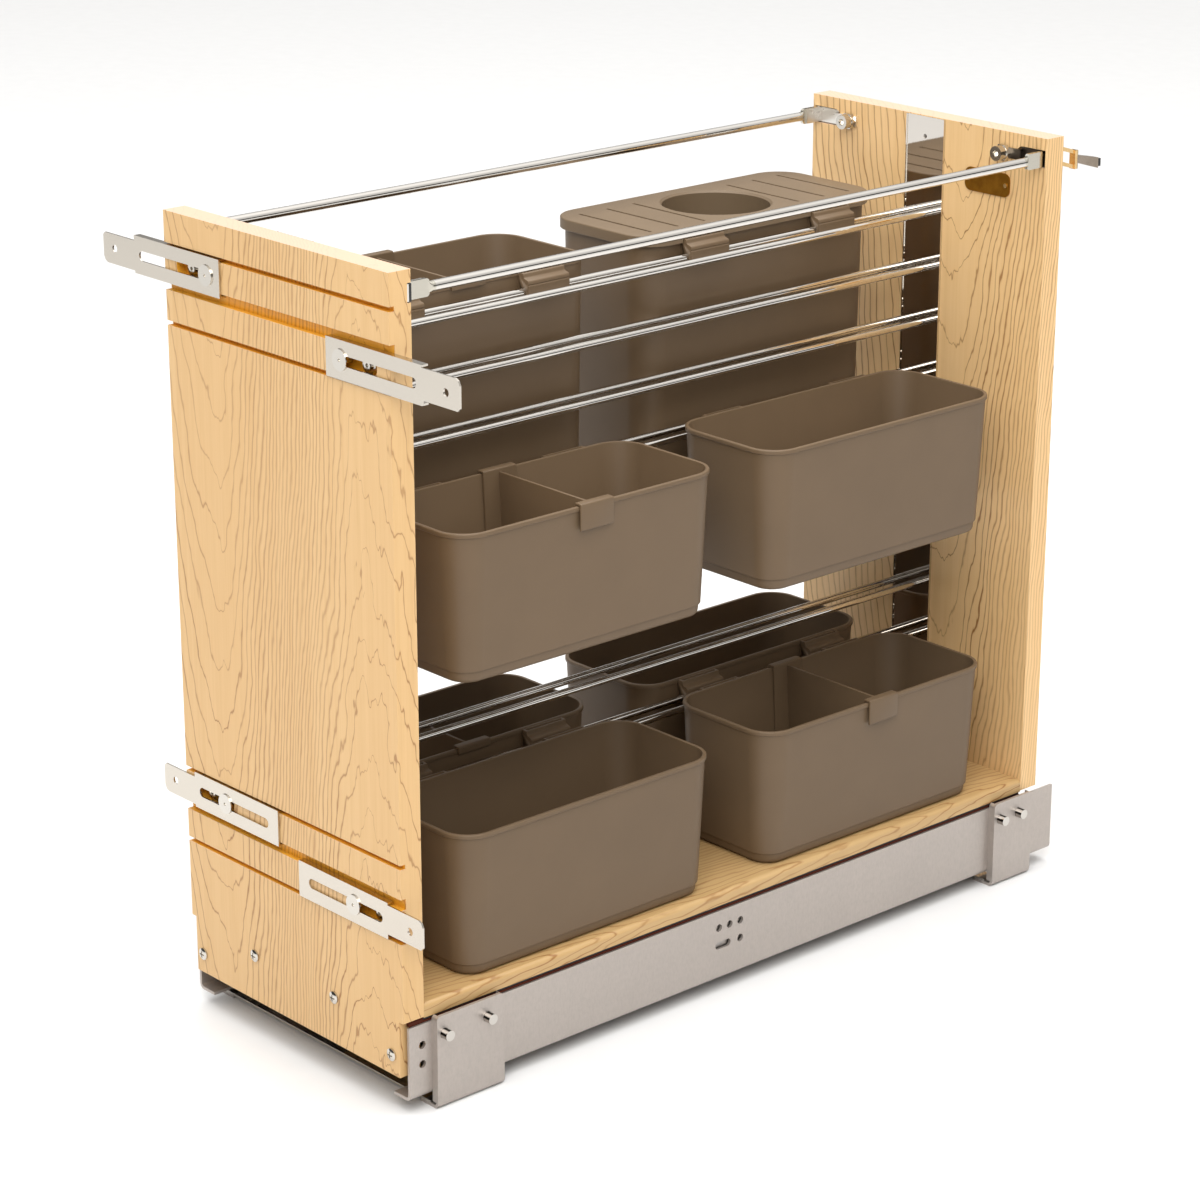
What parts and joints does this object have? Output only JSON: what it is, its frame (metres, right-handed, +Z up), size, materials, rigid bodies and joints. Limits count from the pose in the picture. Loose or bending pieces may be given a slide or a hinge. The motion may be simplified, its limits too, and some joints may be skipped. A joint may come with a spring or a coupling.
{
  "type": "base cabinet pull-out organizer",
  "caption": "Pull-out organizer for a narrow base cabinet: wooden end boards and shelf on ball-bearing runners, with bins on rods, a lid and dividers.",
  "frame": {"origin": "floor level, at the middle of the outer box's length and width", "axes": "+Z up; the front board with the door brackets faces -Y and pulls out that way; +X is to the right of someone who looks from the front along +Y"},
  "size_m": [0.342, 0.6144, 0.524],
  "materials": {
    "zinc_steel": "satin zinc-plated",
    "bearing_steel": "plain",
    "chrome_steel": "polished",
    "screw_steel": "polished",
    "board_wood": "clear satin lacquer",
    "shelf_wood": "clear satin lacquer",
    "black_rubber": "matte",
    "plate_brass": "satin",
    "bin_plastic": "fine matte"
  },
  "bodies": {
    "cabinet_frame": {"front_bracket_left": "zinc_steel", "front_bracket_right": "zinc_steel", "rear_bracket_left": "zinc_steel", "rear_bracket_right": "zinc_steel", "front_cross_plate": "chrome_steel", "rear_cross_plate": "chrome_steel", "bracket_pins": "screw_steel", "runner_outer_left": "zinc_steel", "runner_outer_right": "zinc_steel"},
    "outer_cages": {"ball_cage_outer_left": "bearing_steel", "ball_cage_outer_right": "bearing_steel"},
    "middle_members": {"runner_middle_left": "zinc_steel", "runner_middle_right": "zinc_steel"},
    "inner_cages": {"ball_cage_inner_left": "bearing_steel", "ball_cage_inner_right": "bearing_steel"},
    "carriage": {"runner_inner_left": "zinc_steel", "runner_inner_right": "zinc_steel", "front_board": "board_wood", "back_board": "board_wood", "base_shelf": "shelf_wood", "shelf_bracket_front": "zinc_steel", "shelf_bracket_rear": "zinc_steel", "front_channel": "chrome_steel", "back_channel": "chrome_steel", "rod_row_1": "chrome_steel", "rod_row_2": "chrome_steel", "rod_row_3": "chrome_steel", "rod_row_4": "chrome_steel", "rod_row_5": "chrome_steel", "rod_row_6": "chrome_steel", "top_rail_left": "chrome_steel", "top_rail_right": "chrome_steel", "rail_straps": "chrome_steel", "rail_bolts": "chrome_steel", "rear_catch_left": "chrome_steel", "rear_catch_right": "chrome_steel", "catch_tips": "black_rubber", "name_plate": "plate_brass", "name_plate_pins": "plate_brass", "front_screws": "screw_steel", "back_screws": "screw_steel", "bracket_screws": "screw_steel", "bracket_clamps": "screw_steel"},
    "door_bracket_upper_left": {"door_bracket_upper_left": "chrome_steel"},
    "door_bracket_upper_right": {"door_bracket_upper_right": "chrome_steel"},
    "door_bracket_lower_left": {"door_bracket_lower_left": "chrome_steel"},
    "door_bracket_lower_right": {"door_bracket_lower_right": "chrome_steel"},
    "tall_bin_front": {"tall_bin_front": "bin_plastic"},
    "tall_bin_rear": {"tall_bin_rear": "bin_plastic"},
    "bin_lid": {"bin_lid": "bin_plastic"},
    "hanging_bin_front": {"hanging_bin_front": "bin_plastic"},
    "hanging_bin_rear": {"hanging_bin_rear": "bin_plastic"},
    "shelf_bin_right_front": {"shelf_bin_right_front": "bin_plastic"},
    "shelf_bin_right_rear": {"shelf_bin_right_rear": "bin_plastic"},
    "shelf_bin_left_front": {"shelf_bin_left_front": "bin_plastic"},
    "shelf_bin_left_rear": {"shelf_bin_left_rear": "bin_plastic"},
    "divider_tall": {"divider_tall": "bin_plastic"},
    "divider_hanging": {"divider_hanging": "bin_plastic"},
    "divider_shelf_right": {"divider_shelf_right": "bin_plastic"},
    "divider_shelf_left": {"divider_shelf_left": "bin_plastic"}
  },
  "joints": [
    {"name": "pull_out", "type": "slide", "parent": "cabinet_frame", "child": "carriage", "axis": [0, -1, 0], "range_m": [0, 0.5]},
    {"name": "middle_members_slide", "type": "slide", "parent": "cabinet_frame", "child": "middle_members", "axis": [0, -1, 0], "range_m": [0, 0.25]},
    {"name": "outer_cages_slide", "type": "slide", "parent": "cabinet_frame", "child": "outer_cages", "axis": [0, -1, 0], "range_m": [0, 0.125]},
    {"name": "inner_cages_slide", "type": "slide", "parent": "cabinet_frame", "child": "inner_cages", "axis": [0, -1, 0], "range_m": [0, 0.375]},
    {"name": "door_bracket_upper_left_slide", "type": "slide", "parent": "carriage", "child": "door_bracket_upper_left", "axis": [-1, 0, 0], "range_m": [-0.06, 0]},
    {"name": "door_bracket_upper_right_slide", "type": "slide", "parent": "carriage", "child": "door_bracket_upper_right", "axis": [1, 0, 0], "range_m": [-0.06, 0]},
    {"name": "door_bracket_lower_left_slide", "type": "slide", "parent": "carriage", "child": "door_bracket_lower_left", "axis": [-1, 0, 0], "range_m": [-0.02, 0.04]},
    {"name": "door_bracket_lower_right_slide", "type": "slide", "parent": "carriage", "child": "door_bracket_lower_right", "axis": [1, 0, 0], "range_m": [-0.02, 0.04]},
    {"name": "tall_bin_front_lift", "type": "slide", "parent": "carriage", "child": "tall_bin_front", "axis": [0, 0, 1], "range_m": [0, 0.014]},
    {"name": "tall_bin_rear_lift", "type": "slide", "parent": "carriage", "child": "tall_bin_rear", "axis": [0, 0, 1], "range_m": [0, 0.014]},
    {"name": "hanging_bin_front_lift", "type": "slide", "parent": "carriage", "child": "hanging_bin_front", "axis": [0, 0, 1], "range_m": [0, 0.014]},
    {"name": "hanging_bin_rear_lift", "type": "slide", "parent": "carriage", "child": "hanging_bin_rear", "axis": [0, 0, 1], "range_m": [0, 0.014]},
    {"name": "shelf_bin_right_front_lift", "type": "slide", "parent": "carriage", "child": "shelf_bin_right_front", "axis": [0, 0, 1], "range_m": [0, 0.014]},
    {"name": "shelf_bin_right_rear_lift", "type": "slide", "parent": "carriage", "child": "shelf_bin_right_rear", "axis": [0, 0, 1], "range_m": [0, 0.014]},
    {"name": "shelf_bin_left_front_lift", "type": "slide", "parent": "carriage", "child": "shelf_bin_left_front", "axis": [0, 0, 1], "range_m": [0, 0.014]},
    {"name": "shelf_bin_left_rear_lift", "type": "slide", "parent": "carriage", "child": "shelf_bin_left_rear", "axis": [0, 0, 1], "range_m": [0, 0.014]},
    {"name": "bin_lid_lift", "type": "slide", "parent": "tall_bin_rear", "child": "bin_lid", "axis": [0, 0, 1], "range_m": [0, 0.013]},
    {"name": "divider_tall_lift", "type": "slide", "parent": "tall_bin_front", "child": "divider_tall", "axis": [0, 0, 1], "range_m": [0, 0.016]},
    {"name": "divider_hanging_lift", "type": "slide", "parent": "hanging_bin_front", "child": "divider_hanging", "axis": [0, 0, 1], "range_m": [0, 0.09]},
    {"name": "divider_shelf_right_lift", "type": "slide", "parent": "shelf_bin_right_rear", "child": "divider_shelf_right", "axis": [0, 0, 1], "range_m": [0, 0.07]},
    {"name": "divider_shelf_left_lift", "type": "slide", "parent": "shelf_bin_left_front", "child": "divider_shelf_left", "axis": [0, 0, 1], "range_m": [0, 0.06]}
  ],
  "couplings": [
    {"joint": "middle_members_slide", "follows": "pull_out", "ratio": 0.5},
    {"joint": "outer_cages_slide", "follows": "pull_out", "ratio": 0.25},
    {"joint": "inner_cages_slide", "follows": "pull_out", "ratio": 0.75}
  ]
}
